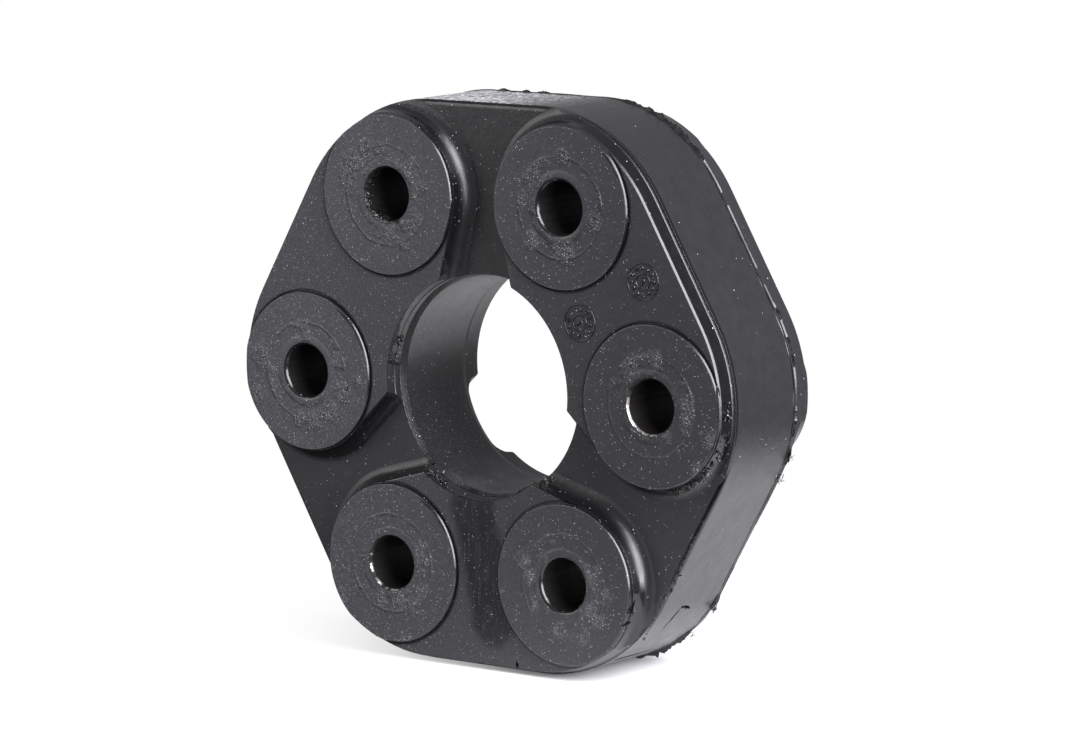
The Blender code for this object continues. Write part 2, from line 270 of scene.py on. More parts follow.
def rear_groove_cutter():
    """Thin gap in front of the parting line's fin, deeper and shallower by turns."""
    top = REAR_LINE + 1.02 - HALF
    low = REAR_LINE + 0.70 - HALF
    rings = [[], [], [], []]
    for point in rim_outline(0.0, 0.0, 60, 40):
        out = Vector((point.x, point.y, 0.0)).normalized()
        deep = 0.22 + 0.35 * noise.noise(point * 0.35)
        for ring, away, height in zip(rings, (0.8, 0.8, -deep, -deep), (top, low, low, top)):
            ring.append(Vector((point.x, point.y, height)) + out * away)
    mesh = bmesh.new()
    loft(mesh, rings, closed=True)
    return place("rear_groove", mesh)


# Nicks in the film at a bolt hole: boss, angle in degrees, half width in degrees and depth
FILM_NICKS = ((2, -62.0, 7.0, 0.9), (1, 100.0, 9.0, -0.35), (4, 150.0, 12.0, -0.3), (5, 190.0, 14.0, 0.3))


def film_hole_cutter():
    """The torn holes in the film, a little wider than the sleeves' bores."""
    mesh = bmesh.new()
    for index in range(BOLT_COUNT):
        centre = bolt_centre(index)
        for side in (1.0, -1.0):
            points = []
            for k in range(180):
                angle = 2.0 * math.pi * k / 180
                radius = FILM_HOLE + 0.11 * wander(angle, index + 3.0 * side)
                for boss, middle, half, depth in FILM_NICKS:
                    if boss == index and side > 0.0:
                        away = (math.degrees(angle) - middle + 180.0) % 360.0 - 180.0
                        radius += depth * max(0.0, 1.0 - abs(away) / half)
                points.append(centre + polar(radius, angle))
            heights = (side * (HALF + 1.0), side * (HALF - 0.6))
            loft(mesh, [[point + Vector((0.0, 0.0, height)) for point in points] for height in heights])
    return place("film_holes", mesh)


# Small cuts: place in the coupler's axes, size along, across and deep, turn and tilt
GASHES = (
    ((10.6, -60.9, HALF - PAD_DROP), (0.5, 1.0, 1.2), 0.2, 0.0),
    ((-36.0, -2.9, HALF + FILM), (0.95, 0.32, 0.25), 1.45, 0.0),
    ((41.7, -44.6, HALF - 0.9), (2.1, 0.65, 1.4), 1.25, 0.6),
    ((40.9, -48.3, HALF - 0.5), (1.5, 0.5, 1.0), 0.5, 0.3),
    ((-21.2, 36.0, HALF + FILM), (0.7, 0.25, 0.2), -0.9, 0.0),
)


def gash_cutter(spot, size, turn, tilt):
    place_at = Matrix.Translation(spot) @ Matrix.Rotation(turn, 4, "Z") @ Matrix.Rotation(tilt, 4, "Y")
    along, across, deep = size
    corners = ((-1.0, 0.0), (-0.2, -1.0), (1.0, -0.3), (0.3, 1.0))
    top = [place_at @ Vector((along * x, across * y, 0.4)) for x, y in corners]
    low = [place_at @ Vector((along * x * 0.7, across * y * 0.4, -deep)) for x, y in corners]
    mesh = bmesh.new()
    loft(mesh, [top, low])
    return place("gash", mesh)


# Hairline crack on the rim's lower right side, in x, y and z
CRACK = (
    (45.2, 1.0, -47.3), (46.0, -2.9, -46.1), (45.3, -3.9, -47.3), (43.9, -4.4, -49.1), (42.7, -4.8, -50.6),
    (40.4, -4.8, -52.9), (39.7, -6.9, -53.6), (38.8, -8.5, -54.4), (37.7, -9.6, -55.3),
)


def crack_cutter():
    """V-shaped groove along the crack, with uneven width."""
    line = []
    for first, last in zip(CRACK, CRACK[1:]):
        steps = max(2, int((Vector(last) - Vector(first)).length / 0.35))
        line += [Vector(first).lerp(Vector(last), k / steps) for k in range(steps)]
    line.append(Vector(CRACK[-1]))
    last = len(line) - 1
    out = LOWER_RIGHT
    rings = []
    for k, (x, y, z) in enumerate(line):
        spot = on_lower_right(Vector((x, z, -y)))
        run = line[min(k + 1, last)] - line[max(k - 1, 0)]
        across = Vector((run.x, run.z, -run.y)).cross(out).normalized()
        spot += across * (0.45 * noise.noise(spot * 1.3) + 0.2 * noise.noise(spot * 4.0))
        half = 0.34 + 0.34 * abs(noise.noise(spot * 0.9 + Vector((0.0, 4.0, 0.0))))
        half *= min(1.0, 0.2 + k / 5.0, 0.2 + (last - k) / 5.0)
        top = spot + out * 0.3
        rings.append([top + across * half * 1.3, top - across * half * 1.3, spot - out * 1.3])
    mesh = bmesh.new()
    loft(mesh, rings)
    return place("crack", mesh)


def strand_cutter():
    """Room for the straight runs of the cord loops, in three layers."""
    outer_top = HALF - FACE_SKIN - 2.0 * CLEARANCE - 1.8
    width = 6.0
    centre_top = outer_top - width - 2.0 * CLEARANCE - 1.2
    layers = (
        (outer_top, width, PITCH / 2.0), (centre_top, 2.0 * centre_top, PITCH * 1.5),
        (width - outer_top, width, PITCH / 2.0),
    )
    half_length = BOLT_RADIUS * math.sin(PITCH / 2.0)
    near = SLEEVE_RADIUS
    far = LOOP_OUTER + CLEARANCE - 0.05
    mesh = bmesh.new()
    for top, width, first in layers:
        for index in range(3):
            out = polar(1.0, first + 2.0 * PITCH * index)
            along = Vector((-out.y, out.x, 0.0))
            for side in (1.0, -1.0):
                rings = []
                for height in (top + CLEARANCE, top - width - CLEARANCE):
                    corners = ((near, -1.0), (far, -1.0), (far, 1.0), (near, 1.0))
                    ring = [out * (BOLT_APOTHEM + side * d) + along * (s * half_length) for d, s in corners]
                    rings.append([Vector((spot.x, spot.y, height)) for spot in ring])
                loft(mesh, rings)
    return place("strand_cutter", mesh)


def groove_cutter():
    """Thin groove round each boss, front and rear."""
    mesh = bmesh.new()
    high, deep = BOSS_RADIUS + 0.24, 0.35
    for index in range(BOLT_COUNT):
        for side in (1.0, -1.0):
            top = side * (HALF - PAD_DROP)
            pairs = [
                (top + side * 0.02, high + 0.1), (top - side * 0.12, high), (top - side * deep, high - 0.04),
                (top - side * deep, BOSS_RADIUS - 0.02), (top + side * 0.02, BOSS_RADIUS + 0.002),
            ]
            turned(mesh, pairs, 144, bolt_centre(index), closed=True)
    return place("boss_grooves", mesh)


def rubber_skin():
    """The body: pads and bosses within the rim's side, on the slab, with every opening cut."""
    mesh = bmesh.new()
    for index in range(3):
        sections = both_faces(pad_profile())
        loft(mesh, [pad_outline(pad_angle(index), offset, height) for height, offset in sections])
    raised = place("raised", mesh)
    mesh = bmesh.new()
    for index in range(BOLT_COUNT):
        edge = [(depth, -inset) for depth, inset in soft_edge(-FILM, -BOSS_RADIUS, 0.30)]
        turned(mesh, both_faces(edge), 144, bolt_centre(index))
    combine(raised, "UNION", place("bosses", mesh))
    mesh = bmesh.new()
    loft(mesh, side_rings())
    body = place("rubber_skin", mesh)
    combine(body, "INTERSECT", raised)
    mesh = bmesh.new()
    loft(mesh, slab_rings())
    combine(body, "UNION", place("slab", mesh))
    mesh = bmesh.new()
    pairs = [
        (-OVERRUN, MOUTH_RADIUS), (3.3, MOUTH_RADIUS), (3.45, MOUTH_RADIUS - 0.12),
        (5.2, MOUTH_RADIUS - 0.14), (5.35, MOUTH_RADIUS - 0.25),
        (6.7, BORE_RADIUS + 0.08), (7.1, BORE_RADIUS),
    ]
    turned(mesh, both_faces(pairs), 144)
    cutters = [place("bore", mesh), groove_cutter(), stack_cutter(), film_hole_cutter(), rear_groove_cutter()]
    cutters += [strand_cutter()] + [gash_cutter(*cut) for cut in GASHES] + [crack_cutter()]
    for cutter in cutters:
        combine(body, "DIFFERENCE", cutter)
    body.data.shade_smooth()
    body.data.set_sharp_from_angle(angle=math.radians(32.0))
    # Large flat faces keep their own normal, free of their neighbours' rounds
    for polygon in body.data.polygons:
        if abs(polygon.normal.y) > 0.9995:
            polygon.use_smooth = False
    weighted = body.modifiers.new("weighted", "WEIGHTED_NORMAL")
    weighted.keep_sharp = True
    return body


# Moulding flash, torn bits and dials
def resampled(points, count):
    """Evenly spaced points along a closed line."""
    lengths = [(last - first).length for first, last in zip(points, points[1:] + points[:1])]
    total = sum(lengths)
    result = []
    index, walked = 0, 0.0
    for step in range(count):
        goal = total * step / count
        while walked + lengths[index] < goal:
            walked += lengths[index]
            index += 1
        share = (goal - walked) / lengths[index]
        result.append(points[index].lerp(points[(index + 1) % len(points)], share))
    return result


def near_spot(point, spots):
    """Largest of the spots' heights at a point: (x, z, reach, height) in the plane of the face."""
    value = 0.0
    for x, z, reach, height in spots:
        away = math.hypot(point.x - x, point.y - z) / reach
        if away < 1.0:
            value = max(value, height * (1.0 - away * away))
    return value


# Where the flash on the parting line is torn and stands out: x, z, reach and height
RIM_TEARS = (
    (24.5, 61.7, 4.0, 0.45), (30.0, 59.8, 4.5, 0.85), (36.0, 56.7, 4.5, 0.85), (41.0, 52.5, 3.0, 0.5),
    (62.0, 18.5, 2.6, 0.75), (65.4, 10.0, 4.0, 0.35), (66.6, -5.0, 4.0, 0.35), (64.5, -13.0, 2.5, 0.5),
    (45.5, -47.5, 2.2, 0.6), (35.5, -57.2, 3.5, 0.9), (30.0, -60.0, 4.5, 1.1), (24.0, -61.8, 3.0, 0.6),
    (-1.0, 63.0, 2.0, 0.4), (-6.0, 63.0, 1.2, 0.5), (-12.0, 63.0, 1.6, 0.45),
)
RIM_GAPS = ((48.2, 42.4, 1.6, 1.0), (57.5, 26.0, 2.0, 0.5), (66.4, -9.8, 1.2, 1.0), (53.0, -34.0, 6.0, 0.6))


def parting_flash():
    """Thin ragged fin round the rim where the mould's rear half met the front one."""
    height = REAR_LINE - HALF - 0.05
    line = resampled(rim_outline(0.12, height, 60), 1700)
    rings = [[], [], [], []]
    for k, point in enumerate(line):
        along = (line[(k + 1) % len(line)] - line[k - 1]).normalized()
        out = Vector((along.y, -along.x, 0.0))
        fine = noise.noise(point * 0.9) + 0.6 * noise.noise(point * 2.7 + Vector((5.0, 0.0, 0.0)))
        slow = noise.noise(point * 0.12 + Vector((0.0, 9.0, 0.0)))
        tear = near_spot(point, RIM_TEARS)
        reach = 0.20 + 0.16 * slow + 0.015 * fine + tear * (0.7 + 0.75 * fine)
        reach = max(0.02, reach - near_spot(point, RIM_GAPS))
        lean = 0.10 * slow + 0.35 * tear * noise.noise(point * 1.4 + Vector((0.0, 0.0, 3.0)))
        section = ((-0.05, 0.50), (0.12 + reach, 0.05 + lean), (0.12 + reach, lean - 0.03), (-0.25, -0.13))
        for ring, (away, rise) in zip(rings, section):
            ring.append(point + out * away + Vector((0.0, 0.0, rise)))
    mesh = bmesh.new()
    loft(mesh, rings, closed=True)
    # A second lip, in front of the fin
    rings = [[], [], []]
    for point in line:
        out = Vector((point.x, point.y, 0.0)).normalized()
        swell = noise.noise(point * 0.22 + Vector((2.0, 7.0, 0.0)))
        reach = max(-0.08, 0.02 + 0.34 * swell + 0.02 * noise.noise(point * 1.3)) + 0.06
        shift = 0.12 * noise.noise(point * 0.5)
        for ring, (away, rise) in zip(rings, ((-0.1, 1.62), (reach, 1.08), (-0.1, 1.02))):
            ring.append(point + out * away + Vector((0.0, 0.0, rise + shift)))
    loft(mesh, rings, closed=True)
    return place("parting_flash", mesh, 50.0)


def edge_flash(mesh, radius, depth, start, end, reach_of, thick, lift, seed):
    """Ragged strip that stands in from a round edge of the bore's front mouth."""
    steps = int(abs(end - start) * radius / 0.22)
    rings = []
    for k in range(steps + 1):
        angle = start + (end - start) * k / steps
        spot = polar(radius, angle)
        rough = noise.noise(spot * 1.1 + Vector((0.0, 0.0, seed)))
        rough += 0.6 * noise.noise(spot * 3.2 + Vector((seed, 0.0, 0.0)))
        reach = max(0.03, reach_of(math.degrees(angle)) * (0.65 + 0.8 * rough))
        up = lift * (0.6 + rough)
        top = HALF - depth
        rings.append([
            polar(radius + 0.3, angle, top + 0.02), polar(radius - reach, angle, top + up),
            polar(radius - reach, angle, top + up - thick * 0.5), polar(radius + 0.3, angle, top - thick),
        ])
    loft(mesh, rings)


def lump(mesh, spot, size, seed, stretch=(1.0, 1.0, 1.0)):
    """Small torn crumb of rubber, closed and uneven."""
    made = bmesh.ops.create_icosphere(mesh, subdivisions=2, radius=1.0)
    chance = random.Random(seed)
    turn = Matrix.Rotation(chance.uniform(0.0, math.pi), 4, Vector((chance.random(), chance.random(), 1.0)))
    for vertex in made["verts"]:
        rough = 1.0 + 0.75 * noise.noise(vertex.co * 1.7 + Vector((seed * 3.7, 0.0, 0.0)))
        scaled = Vector((vertex.co.x * stretch[0], vertex.co.y * stretch[1], vertex.co.z * stretch[2]))
        vertex.co = Vector(spot) + (turn @ scaled) * size * rough


def mouth_flash(mesh):
    """Flash along the bore's front mouth, longest at the corners of two pads."""

    def pad_a(angle):
        return 0.30 + 1.15 * max(0.0, 1.0 - abs(angle - 158.0) / 18.0)

    def pad_c(angle):
        left = 1.1 * max(0.0, 1.0 - abs(angle - 240.0) / 10.0)
        return 0.16 + left + 0.5 * max(0.0, 1.0 - abs(angle - 300.0) / 8.0)

    def recess(_):
        return 0.16

    for radius, depth, start, end, reach_of, thick, lift, seed in (
        (MOUTH_RADIUS, PAD_DROP + 0.12, 133.0, 178.0, pad_a, 0.35, 0.18, 1.0),
        (MOUTH_RADIUS, PAD_DROP + 0.15, 234.0, 306.0, pad_c, 0.35, 0.12, 4.0),
        (MOUTH_RADIUS - 0.08, RECESS_DEPTH + 0.12, 95.0, 300.0, recess, 0.16, 0.05, 7.0),
    ):
        edge_flash(mesh, radius, depth, math.radians(start), math.radians(end), reach_of, thick, lift, seed)


# Crumbs at the pads' corners: x, z, spread and how many
CORNER_CRUMBS = (
    (-13.4, -20.6, 2.2, 18), (-11.0, -22.6, 1.8, 14), (-22.9, 9.5, 2.4, 18), (-24.2, 4.0, 1.8, 12),
    (16.6, -20.6, 1.9, 18), (19.2, -19.4, 1.5, 14),
)
# Tufts of fibres at the parting line: x, z, height and reach
TUFTS = (
    (62.6, -18.2, -10.4, 1.3), (45.0, -48.9, -10.8, 1.8),
    (65.4, -13.2, -10.6, 0.9), (38.5, -55.3, -11.0, 1.0),
)
# Chips at the recess's lower right edge: x, z and height
CHIPS = ((50.4, -39.2, 11.6), (49.2, -41.2, 11.3), (51.6, -37.4, 11.8), (48.0, -42.6, 11.9))
# Thin torn strokes along a boss's edge: boss, and start and end in degrees
STROKES = (
    (1, 34.0, 48.0), (1, 22.0, 40.0), (3, 30.0, 62.0), (3, 18.0, 36.0), (4, 38.0, 66.0), (4, 26.0, 44.0),
)


def corner_crumbs(mesh, chance):
    front = HALF - PAD_DROP
    for x, z, spread, count in CORNER_CRUMBS:
        for _ in range(count):
            spot = (
                x + chance.gauss(0.0, spread * 0.4), z + chance.gauss(0.0, spread * 0.3),
                front - chance.uniform(-0.1, 2.2),
            )
            lump(mesh, spot, chance.uniform(0.2, 0.5), chance.random() * 50.0, (1.5, 0.7, 0.6))


def rim_tufts(mesh, chance):
    for x, z, height, reach in TUFTS:
        for _ in range(14):
            spot = (x + chance.gauss(0.0, 0.4), z + chance.gauss(0.0, 0.4), height + chance.gauss(0.0, 0.4))
            lump(mesh, spot, reach * chance.uniform(0.35, 0.7), chance.random() * 50.0, (1.0, 0.09, 0.07))


def torn_mouth(mesh, chance):
    """Torn film inside the mouth of the upper left sleeve."""
    for _ in range(64):
        radius, turn = chance.uniform(5.7, 6.4), math.radians(chance.uniform(125.0, 262.0))
        spot = bolt_centre(2) + polar(radius, turn, HALF - chance.uniform(-0.15, 2.6))
        lump(mesh, spot, chance.uniform(0.22, 0.55), chance.random() * 50.0, (1.3, 0.6, 0.8))


def boss_strokes(mesh, steps=12):
    for index, start, end in STROKES:
        rings = []
        for k in range(steps + 1):
            turn = math.radians(start + (end - start) * k / steps)
            size = 0.02 + 0.15 * math.sin(math.pi * k / steps)
            radius = BOSS_RADIUS - 0.35 - 0.05 * k * (start % 4.0) / 4.0
            spot = bolt_centre(index) + polar(radius, turn, HALF + FILM - 0.02)
            outward = polar(1.0, turn)
            top = spot + Vector((0.0, 0.0, size * 1.1))
            rings.append([spot - outward * size * 2.0, top, spot + outward * size * 1.6])
        loft(mesh, rings)


def side_crumbs(mesh, chance):
    """Crumbs below the right-hand boss, and along the recess's lower right edge."""
    for _ in range(60):
        turn = math.radians(chance.uniform(-78.0, 8.0))
        away = polar(BOSS_RADIUS + chance.uniform(0.1, 1.6), turn, HALF - chance.uniform(0.9, 3.4))
        spot = bolt_centre(0) + away
        lump(mesh, spot, chance.uniform(0.15, 0.50), chance.random() * 50.0, (1.6, 0.7, 0.6))
    for _ in range(40):
        share = 0.75 * chance.random()
        along = Vector((56.5, -24.0, 0.0)).lerp(Vector((26.0, -56.5, 0.0)), share)
        spot = on_lower_right(along, 0.35)
        spot.z = HALF - RECESS_DEPTH - chance.uniform(0.0, 0.5)
        lump(mesh, spot, chance.uniform(0.12, 0.34), chance.random() * 50.0, (1.6, 0.6, 0.6))


def torn_rubber():
    """All torn bits in one mesh. The order of the steps sets the random draws."""
    mesh = bmesh.new()
    chance = random.Random(11)
    mouth_flash(mesh)
    corner_crumbs(mesh, chance)
    rim_tufts(mesh, chance)
    for x, z, height in CHIPS:
        lump(mesh, (x, z, height), 0.45, x, (1.4, 0.5, 0.6))
    # A torn bit beside the cuts on the lower right boss
    lump(mesh, (42.5, -45.6, HALF - 0.8), 0.7, 5.0, (1.2, 0.5, 0.7))
    torn_mouth(mesh, chance)
    boss_strokes(mesh)
    side_crumbs(mesh, chance)
    return place("torn_rubber", mesh, 60.0)


def mouth_lips():
    """Smooth bevelled lips of rubber over the sleeves' mouths at three bosses, front side."""
    mesh = bmesh.new()
    section = (
        (8.8, 0.06), (7.6, 0.15), (6.85, 0.22), (6.52, 0.20),
        (6.08, -0.05), (5.84, -0.62), (6.12, -0.75), (8.8, -0.1),
    )
    for index in (1, 3, 5):
        rings = []
        for radius, height in section:
            ring = []
            for k in range(120):
                angle = 2.0 * math.pi * k / 120
                uneven = 0.07 * wander(angle, index + 20.0) if height > 0.0 else 0.0
                ring.append(bolt_centre(index) + polar(radius + uneven, angle, HALF + height))
            rings.append(ring)
        loft(mesh, rings, closed=True)
    return place("mouth_lips", mesh, 50.0)


def ring_bead(mesh, centre, radius, width, top, facets=72):
    """Low round bead that is half sunk in a face."""
    rings = []
    for k in range(8):
        angle = 2.0 * math.pi * k / 8
        rings.append(circle(radius + width * math.cos(angle), top + width * math.sin(angle), facets, centre))
    loft(mesh, rings, closed=True)


def mould_dials():
    """Two plain moulded dials on the right-hand pad, with no letters or numbers."""
    mesh = bmesh.new()
    top = HALF - PAD_DROP
    for x, z, turn in ((28.8, 16.8, 0.4), (45.8, 27.0, 1.1)):
        ring_bead(mesh, (x, z), 4.05, 0.19, top)
        ring_bead(mesh, (x, z), 1.75, 0.22, top)
        for k in range(12):
            spot = Vector((x, z, top)) + polar(2.95, turn + 2.0 * math.pi * k / 12)
            lump(mesh, spot, 0.52, 3.0 * k + x, (1.0, 0.8, 0.62))
        for k in range(3):
            spot = Vector((x, z, top)) + polar(0.55 * (k - 1), turn)
            lump(mesh, spot, 0.48, 5.0 * k + z, (1.0, 0.8, 0.62))
    return place("mould_dials", mesh, 60.0)


# Node helpers
class Graph:
    """Adds nodes to a tree. Sockets and plain numbers can be mixed as inputs."""

    def __init__(self, tree):
        self.tree = tree

    def new(self, kind):
        return self.tree.nodes.new("ShaderNode" + kind)

    def put(self, socket, value):
        if isinstance(value, bpy.types.NodeSocket):
            self.tree.links.new(value, socket)
        else:
            socket.default_value = (*value, 1.0) if socket.type == "RGBA" else value

    def fill(self, node, **values):
        """Sets or links inputs by name, with _ for a space."""
        for name, value in values.items():
            self.put(node.inputs[name.replace("_", " ")], value)
        return node.outputs[0]

    def feed(self, node, values):
        """Sets or links inputs in their order."""
        for socket, value in zip(node.inputs, values):
            self.put(socket, value)
        return node.outputs[0]

    def math(self, operation, *values, clamp=False):
        node = self.new("Math")
        node.operation = operation
        node.use_clamp = clamp
        return self.feed(node, values)

    def fold(self, operation, values):
        total = values[0]
        for value in values[1:]:
            total = self.math(operation, total, value)
        return total

    def add(self, *values):
        return self.fold("ADD", values)

    def mul(self, *values):
        return self.fold("MULTIPLY", values)

    def most(self, *values):
        return self.fold("MAXIMUM", values)

    def sub(self, first, second):
        return self.math("SUBTRACT", first, second)

    def flip(self, value):
        return self.sub(1.0, value)

    def vector(self, operation, *values):
        node = self.new("VectorMath")
        node.operation = operation
        self.feed(node, values)
        return node.outputs["Value" if operation in ("LENGTH", "DOT_PRODUCT", "DISTANCE") else "Vector"]

    def scaled(self, vector, amount):
        node = self.new("VectorMath")
        node.operation = "SCALE"
        self.put(node.inputs[0], vector)
        return self.fill(node, Scale=amount)

    def stretched(self, vector, factors):
        return self.vector("MULTIPLY", vector, factors)

    def split(self, vector):
        node = self.new("SeparateXYZ")
        self.put(node.inputs[0], vector)
        return tuple(node.outputs)

    def join(self, x, y, z):
        return self.fill(self.new("CombineXYZ"), X=x, Y=y, Z=z)

    def ramp(self, value, low, high, to_low=0.0, to_high=1.0, smooth=True):
        node = self.new("MapRange")
        node.interpolation_type = "SMOOTHSTEP" if smooth else "LINEAR"
        return self.fill(node, Value=value, From_Min=low, From_Max=high, To_Min=to_low, To_Max=to_high)

    def fall(self, value, low, high):
        """1 below low, falling to 0 at high."""
        return self.ramp(value, low, high, 1.0, 0.0)

    def band(self, value, low, high, soft):
        """1 between low and high, falling to 0 over soft on each side."""
        return self.mul(self.ramp(value, low - soft, low), self.fall(value, high, high + soft))


class Nodes(Graph):
    """Builds the nodes of one material."""

    def __init__(self, name):
        self.material = bpy.data.materials.new(name)
        self.material.use_nodes = True
        super().__init__(self.material.node_tree)
        self.shader = self.tree.nodes["Principled BSDF"]
        self.output = self.tree.nodes["Material Output"]

    def mix(self, factor, first, second):
        node = self.new("Mix")
        node.data_type = "RGBA"
        self.put(node.inputs["Factor"], factor)
        for key, value in (("A", first), ("B", second)):
            socket = [s for s in node.inputs if s.name == key and s.type == "RGBA"][0]
            self.put(socket, value)
        return [s for s in node.outputs if s.type == "RGBA"][0]

    def layers(self, colour, rows):
        """Lays (mask, colour) rows over a colour, one after another."""
        for mask, tint in rows:
            colour = self.mix(mask, colour, tint)
        return colour

    def noise(self, vector, scale, detail=3.0, rough=0.55):
        return self.fill(self.new("TexNoise"), Vector=vector, Scale=scale, Detail=detail, Roughness=rough)

    def specks(self, vector, scale, share, size):
        """Small dots: one in each cell of the pattern, kept in a share of the cells."""
        node = self.new("TexVoronoi")
        self.fill(node, Vector=vector, Scale=scale)
        split = self.new("SeparateColor")
        self.put(split.inputs[0], node.outputs["Color"])
        chance, width, strength = split.outputs
        kept = self.mul(self.math("GREATER_THAN", share, chance), self.ramp(strength, 0.0, 1.0, 0.15, 1.0))
        radius = self.mul(self.add(width, 0.35), size)
        return self.mul(kept, self.fall(node.outputs["Distance"], self.mul(radius, 0.6), radius))

    def position(self):
        """Position in millimetres from the middle of the coupler's axis, x right, y back and z up."""
        node = self.new("TexCoord")
        return self.scaled(self.vector("SUBTRACT", node.outputs["Object"], tuple(CENTRE)), 1000.0)

    def face_normal(self):
        return self.split(self.new("NewGeometry").outputs["True Normal"])

    def bump(self, height, distance, strength):
        return self.fill(self.new("Bump"), Height=height, Distance=distance * MM, Strength=strength)

    def finish(self, colour, roughness, normal, metallic=0.0, specular=0.5):
        self.fill(self.shader, Base_Color=colour, Roughness=roughness, Metallic=metallic, Normal=normal)
        self.shader.inputs["Specular IOR Level"].default_value = specular
        return self.material


def bolt_distance(n, x, z):
    """Distances in the plane of the face to the nearest bolt's axis and to the coupler's axis."""
    angle = n.math("ARCTAN2", z, x)
    turns = n.math("ROUND", n.math("DIVIDE", angle, PITCH))
    local = n.sub(angle, n.mul(turns, PITCH))
    radius = n.math("SQRT", n.add(n.mul(x, x), n.mul(z, z)))
    across = n.sub(n.mul(radius, n.math("COSINE", local)), BOLT_RADIUS)
    along = n.mul(radius, n.math("SINE", local))
    return n.math("SQRT", n.add(n.mul(across, across), n.mul(along, along))), radius


def near_places(n, p, places):
    """1 at the middle of any of the places, falling to 0 at their reach, seen along the axis."""
    flat = n.stretched(p, (1.0, 0.0, 1.0))
    value = 0.0
    for x, z, reach in places:
        away = n.vector("DISTANCE", flat, (x, 0.0, z))
        value = n.most(value, n.fall(away, reach * 0.25, reach))
    return value


def line_distance(n, p, first, last):
    """Distance to a straight line between two points."""
    start, end = Vector(first), Vector(last)
    run = end - start
    offset = n.vector("SUBTRACT", p, tuple(start))
    along = n.vector("DOT_PRODUCT", offset, tuple(run))
    share = n.math("MULTIPLY", along, 1.0 / run.length_squared, clamp=True)
    return n.vector("DISTANCE", offset, n.scaled(tuple(run), share))


# Scuffed and crumbly patches on the boss ends: x, z and reach
WORN = (
    (-33.8, 48.7, 3.6), (-29.7, 51.2, 3.2), (-35.0, 45.1, 3.2), (-25.7, 51.4, 2.4), (-15.1, 44.1, 2.8),
    (-23.8, 33.2, 2.8), (-19.0, 30.6, 2.0), (16.5, 33.9, 2.8), (25.7, 31.9, 3.4), (33.3, 39.0, 2.8),
    (24.9, 52.8, 2.4), (17.1, 41.4, 2.2), (-46.0, -11.0, 3.4), (-41.3, -8.8, 3.8), (-37.7, -3.9, 3.2),
    (-50.1, -11.0, 2.6), (-61.1, 2.4, 3.8), (-62.5, -6.7, 2.8), (-33.0, -1.3, 1.8), (43.2, 9.9, 2.4),
    (49.3, 10.8, 2.6), (57.4, 1.1, 2.4), (57.4, -2.0, 2.4), (61.0, -13.3, 3.4), (63.8, -6.0, 3.2),
    (-21.5, -49.3, 3.8), (-17.8, -50.8, 2.8), (-14.2, -39.7, 2.4), (-38.7, -51.2, 2.8), (-27.6, -50.5, 2.8),
    (-20.3, -58.8, 2.6), (13.1, -37.1, 2.8), (14.9, -40.4, 2.8), (31.6, -46.7, 2.8), (33.2, -48.3, 2.8),
    (22.8, -51.7, 2.8), (29.1, -52.3, 2.8), (35.7, -42.7, 2.4),
)


def rubber_zones(n):
    """Masks from 0 to 1 for the rubber's zones, with the distances and noises that they share."""
    m = SimpleNamespace(p=n.position())
    m.x, m.y, m.z = n.split(m.p)
    m.bolt, m.radius = bolt_distance(n, m.x, m.z)
    m.depth = n.sub(HALF, n.math("ABSOLUTE", m.y))
    m.cloud = n.noise(m.p, 0.35, 4.0, 0.6)
    m.grain = n.noise(m.p, 2.2, 4.0, 0.65)
    m.fine = n.noise(m.p, 7.0, 3.0, 0.6)
    _, ny, nz = n.face_normal()
    m.facing = n.ramp(n.math("ABSOLUTE", ny), 0.88, 0.97)
    side = n.flip(m.facing)
    outer = n.ramp(m.radius, 57.0, 60.0)
    m.left = n.ramp(m.x, -50.0, 40.0, 1.0, 0.20, smooth=False)
    # Pads and bosses, a painted highlight line along the edge of a boss and a painted shade line round its
    # foot
    m.face = n.mul(m.facing, n.fall(m.depth, 1.0, 1.6))
    m.boss = n.mul(m.face, n.fall(m.bolt, 18.0, 18.15))
    # Painted highlight: noise breaks up the light line painted along a boss's edge
    edge_highlight_breakup = n.ramp(n.noise(m.p, 0.5, 3.0, 0.6), 0.35, 0.60, 0.15, 0.8)
    m.boss_edge = n.mul(n.band(m.bolt, 17.72, 17.90, 0.08), m.boss, edge_highlight_breakup)
    m.foot = n.mul(n.band(m.bolt, 18.30, 18.72, 0.12), m.face)
    # Recess floors and the coves beside them
    m.recess = n.mul(n.ramp(m.depth, 3.5, 4.9), n.fall(m.depth, 6.5, 7.2), m.facing)
    inner = n.mul(n.ramp(m.radius, 26.0, 26.4), n.fall(m.radius, 59.5, 60.0))
    m.cove = n.mul(side, n.fall(m.depth, 5.3, 5.7), inner)
    # Rim: its wall, worn top, tapered band painted dark as shade, crease painted as a dark shade line, and
    # strip behind the parting line
    m.rim = n.mul(outer, side, n.ramp(m.depth, 4.6, 4.9))
    top_wear = n.ramp(n.noise(m.p, 0.5, 4.0, 0.7), 0.35, 0.65, 0.6, 1.0)
    m.top = n.mul(m.rim, n.ramp(nz, 0.80, 0.97), top_wear, n.fall(m.x, -8.0, 22.0))
    # The tapered band of the pads' sides by the rim, which is painted near black as shade
    m.band = n.mul(n.ramp(m.radius, 56.0, 58.0), side, n.band(m.depth, 1.35, 3.85, 0.25))
    m.crease = n.band(m.depth, RECESS_DEPTH + 0.12, RECESS_DEPTH + 0.75, 0.12)
    m.crease = n.mul(m.crease, n.ramp(m.radius, 59.0, 61.0), n.fall(m.y, 0.0, 1.0))
    parting = HALF - REAR_LINE
    m.rear = n.mul(n.ramp(m.y, parting - 0.1, parting + 0.1), outer, side)
    m.bore = n.mul(n.fall(m.radius, 25.3, 25.5), side)
    return m


